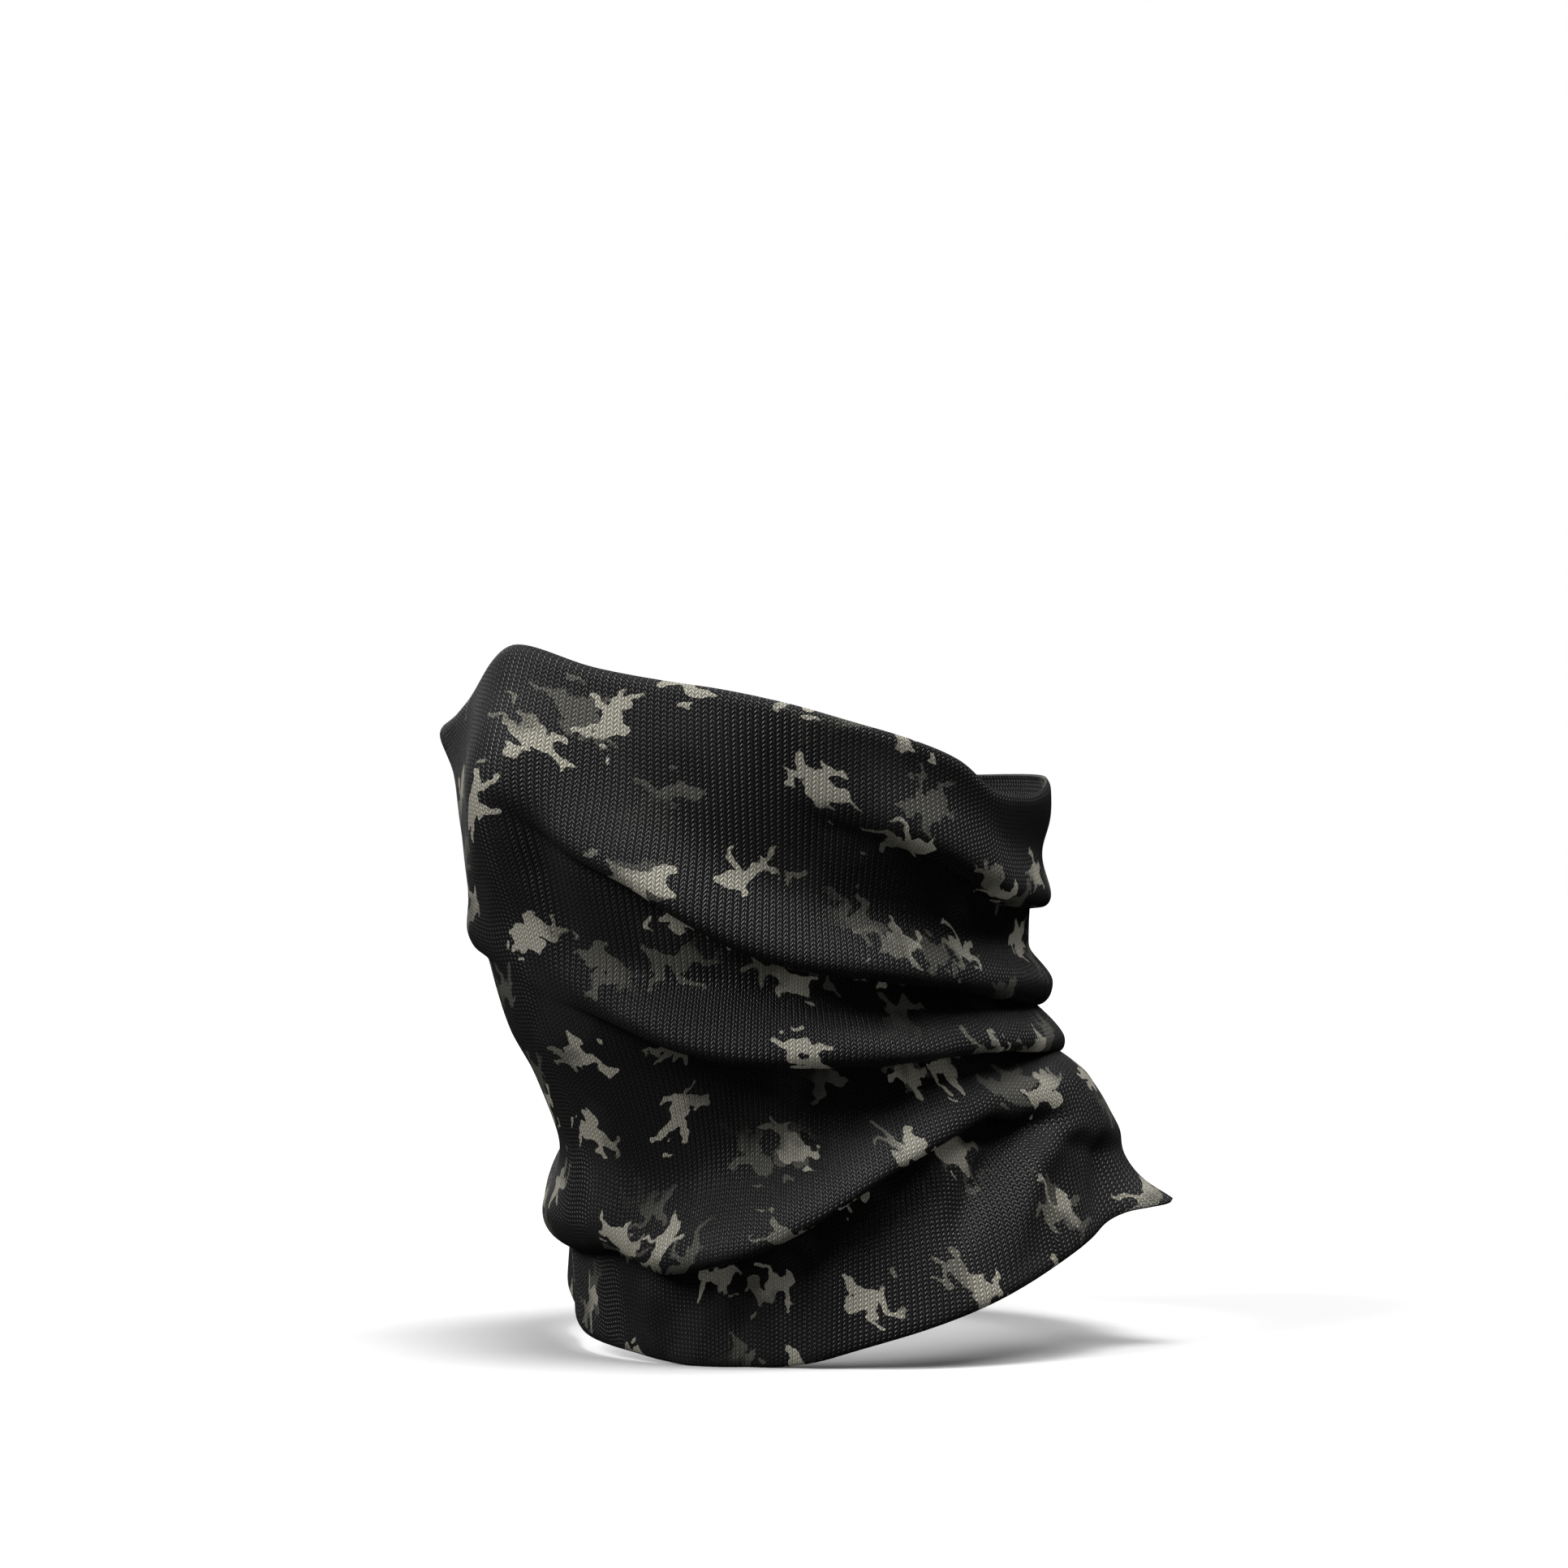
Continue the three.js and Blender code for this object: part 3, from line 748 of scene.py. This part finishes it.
outer_jersey = jersey("printed jersey", 1.0)
inner_jersey = jersey("jersey reverse", 0.25)
print("materials:", outer_jersey.name, "and", inner_jersey.name)

# %% [markdown]
# ## The back seam
#
# The panel's two side edges meet at the centre back and are sewn with a four-thread overlock,
# which trims, wraps and joins them in one pass. Inside, the two plies lie pressed to one side as a
# ridge, with two needle threads along it and two looper threads laced over its cut edge. A place
# on the seam is given by its distance across from the seam line, its distance down the cloth, and
# its depth under the cloth's outer face. The plies could be the panel's own edges folded in, but a
# strip of their own, thickened to two plies, leaves the panel's grid even.

# %% Places on the seam
ALLOWANCE_WIDTH, ALLOWANCE_DEPTH = 6.0, 2.7  # the depth is three plies of cloth
THREAD_RADIUS = 0.2
NEEDLE_LINES = (1.8, 3.8)
STITCH_PITCH = 3.0
TACK_LENGTH, TACK_WIDTH, END_MARGIN, TACK_GAP = 7.0, 4.6, 2.0, 0.4
BACK_REACH = 72  # about how far the cloth is from the axis there
SEAM_STEP = 0.006  # share of the cloth's length over which its slope is taken

back_steps = np.linspace(0, 1, 2401)
back_line = drape(180, back_steps)
back_down = np.concatenate([[0], np.cumsum(np.linalg.norm(np.diff(back_line, axis=0), axis=1))])
seam_length = back_down[-1]


def seam_place(across, down, depth):
    """A place by the back seam, in metres, from lists of millimetres."""
    places = [np.asarray(values, float) for values in (across, down, depth)]
    across, down, depth = np.broadcast_arrays(*places)
    angle = 180 - np.degrees(across / BACK_REACH)
    along = np.interp(down, back_down, back_steps)
    here = drape(angle, along)
    further, nearer = np.minimum(along + SEAM_STEP, 1), np.maximum(along - SEAM_STEP, 0)
    ahead = drape(angle, further) - drape(angle, nearer)
    turn = np.radians(angle)
    away = np.stack([np.sin(turn), -np.cos(turn), np.zeros_like(turn)], axis=-1)
    outward = (ahead * away).sum(axis=-1, keepdims=True)
    normal = -ahead[..., 2:] * away + outward * np.array([0, 0, 1.0])
    normal /= np.linalg.norm(normal, axis=-1, keepdims=True)
    return (here - normal * depth[..., None]) / 1000


print("seam length", seam_length.round(1), "mm")

# %% Seam allowance
PLIES_ACROSS, PLIES_DOWN = 8, 150
SEAM_CLEARANCE, END_CLEARANCE = 0.2, 0.5
ply = CLOTH_THICKNESS * 1000

bm = bmesh.new()
bmesh.ops.create_grid(bm, x_segments=PLIES_ACROSS, y_segments=PLIES_DOWN, size=1)
for vertex in bm.verts:
    across = SEAM_CLEARANCE + (vertex.co.x + 1) / 2 * (ALLOWANCE_WIDTH - SEAM_CLEARANCE)
    down = END_CLEARANCE + (1 - vertex.co.y) / 2 * (seam_length - 2 * END_CLEARANCE)
    vertex.co = seam_place(across, down, ply)
for face in bm.faces:
    face.smooth = True
bmesh.ops.recalc_face_normals(bm, faces=bm.faces)
middle = bm.faces[len(bm.faces) // 2]
if middle.normal.y < 0:  # outward is to the back
    bmesh.ops.reverse_faces(bm, faces=bm.faces)
allowance = new_object("seam_allowance", mesh_from("seam_allowance", bm))
plies = allowance.modifiers.new("two plies", "SOLIDIFY")
plies.thickness = (ALLOWANCE_DEPTH - ply) / 1000
plies.offset = -1
print("allowance", len(allowance.data.polygons), "faces")

# %% [markdown]
# ## Threads
#
# A thread is a curve with a round section, turned into a mesh. The needle threads lie in stitches
# that dip into the plies once a pitch. The loopers run between them and the cut edge, each half a
# stitch apart from the other. A bar tack, a close zigzag, holds the threads at both ends.

# %% Threads
def thread(name, across, down, depth):
    """Round thread through places on the seam."""
    curve = bpy.data.curves.new(name, "CURVE")
    curve.dimensions = "3D"
    curve.bevel_depth = THREAD_RADIUS / 1000
    curve.bevel_resolution = 2
    curve.use_fill_caps = True
    line = curve.splines.new("POLY")
    path = seam_place(across, down, depth)
    line.points.add(len(path) - 1)
    for point, place in zip(line.points, path):
        point.co = (*place, 1)
    drawn = bpy.data.objects.new(name + " curve", curve)
    bpy.context.scene.collection.objects.link(drawn)
    bpy.context.view_layer.update()
    evaluated = drawn.evaluated_get(bpy.context.evaluated_depsgraph_get())
    mesh = bpy.data.meshes.new_from_object(evaluated)
    bpy.data.objects.remove(drawn)
    for face in mesh.polygons:
        face.use_smooth = True
    mesh.name = name
    return new_object(name, mesh)


POINTS_PER_STITCH = 12
NEEDLE_DIP, LOOP_SWAY, EDGE_WRAP = 0.25, 0.5, 1.6

first_stitch = END_MARGIN + TACK_LENGTH + TACK_GAP
points = POINTS_PER_STITCH * round(seam_length / STITCH_PITCH)
sewn = np.linspace(first_stitch, seam_length - first_stitch, points)
beat = 2 * np.pi * (sewn - first_stitch) / STITCH_PITCH
on_top = ALLOWANCE_DEPTH + THREAD_RADIUS
needle_depth = on_top - NEEDLE_DIP * (np.cos(beat) > 0.8)
threads = [
    thread("inner_needle_thread", NEEDLE_LINES[0], sewn, needle_depth),
    thread("outer_needle_thread", NEEDLE_LINES[1], sewn, needle_depth),
]
swing = (1 - np.cos(beat)) / 2
outer_edge = ALLOWANCE_WIDTH + THREAD_RADIUS
threads.append(thread(
    "upper_looper_thread", NEEDLE_LINES[0] + swing * (outer_edge - NEEDLE_LINES[0]),
    sewn + LOOP_SWAY * np.sin(beat), on_top + 2 * THREAD_RADIUS * (1 - swing ** 4),
))
threads.append(thread(
    "lower_looper_thread", NEEDLE_LINES[1] + (1 - swing) * (outer_edge + 0.1 - NEEDLE_LINES[1]),
    sewn - LOOP_SWAY * np.sin(beat), on_top + 2 * THREAD_RADIUS - EDGE_WRAP * (1 - swing) ** 4,
))


TACK_STEP, TACK_EDGE, TACK_RISE = 0.27, 0.6, 0.15


def tack(name, start):
    """A close zigzag across the plies, from a distance down the seam."""
    turns = np.arange(0, TACK_LENGTH, TACK_STEP)
    across = np.where(np.arange(len(turns)) % 2, TACK_EDGE + TACK_WIDTH, TACK_EDGE)
    return thread(name, across, start + turns, on_top + TACK_RISE)


threads.append(tack("rim_end_tack", END_MARGIN))
threads.append(tack("hem_end_tack", seam_length - END_MARGIN - TACK_LENGTH))
print("threads:", [(piece.name, len(piece.data.polygons)) for piece in threads])

# %% [markdown]
# ## Sewing thread
#
# Sewing thread is two or three plies twisted together, which show as slanting bands, dull and
# shaded in their grooves. The twist could be modelled, but the thread is only 0.4 mm thick, so a
# sine wave across it makes the bands in roughness and bump, with painted shade in the grooves.

# %% Thread material
# The first colour is painted shade in the grooves of the twist, the second the thread's own colour.
PAINTED_GROOVE_SHADE, PLY = (0.008, 0.008, 0.008, 1), (0.022, 0.022, 0.021, 1)
TWIST = (6000.0, 6000.0, 9000.0)  # radians a metre

sewing_thread, w, shader = new_material("sewing thread")
twist = w.vector("DOT_PRODUCT", w.node("TexCoord").outputs["Object"], TWIST)
plying = w.math("MULTIPLY_ADD", w.math("SINE", twist), 0.5, 0.5)
w.feed(shader.inputs["Base Color"], w.blend(plying, PAINTED_GROOVE_SHADE, PLY))
w.feed(shader.inputs["Roughness"], w.math("MULTIPLY_ADD", plying, -0.15, 0.6))
bump = w.node("Bump")
bump.inputs["Strength"].default_value = 0.8
bump.inputs["Distance"].default_value = 0.00006
w.feed(bump.inputs["Height"], plying)
w.feed(shader.inputs["Normal"], bump.outputs["Normal"])
print("material:", sewing_thread.name)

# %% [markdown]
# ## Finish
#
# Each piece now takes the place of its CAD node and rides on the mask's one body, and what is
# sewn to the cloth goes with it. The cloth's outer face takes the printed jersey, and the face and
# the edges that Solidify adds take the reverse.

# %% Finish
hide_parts("knit_tube")
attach(cloth, "root")
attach(allowance, "root")
allowance.data.materials.append(inner_jersey)
stands_for = [
    "needle_thread_inner", "needle_thread_outer", "looper_thread_upper", "looper_thread_lower",
    "rim_tack", "hem_tack",
]
for piece, node in zip(threads, stands_for):
    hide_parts(node)
    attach(piece, "root")
    piece.data.materials.append(sewing_thread)

cloth.data.materials.append(outer_jersey)
cloth.data.materials.append(inner_jersey)
thick.material_offset = 1
thick.material_offset_rim = 1
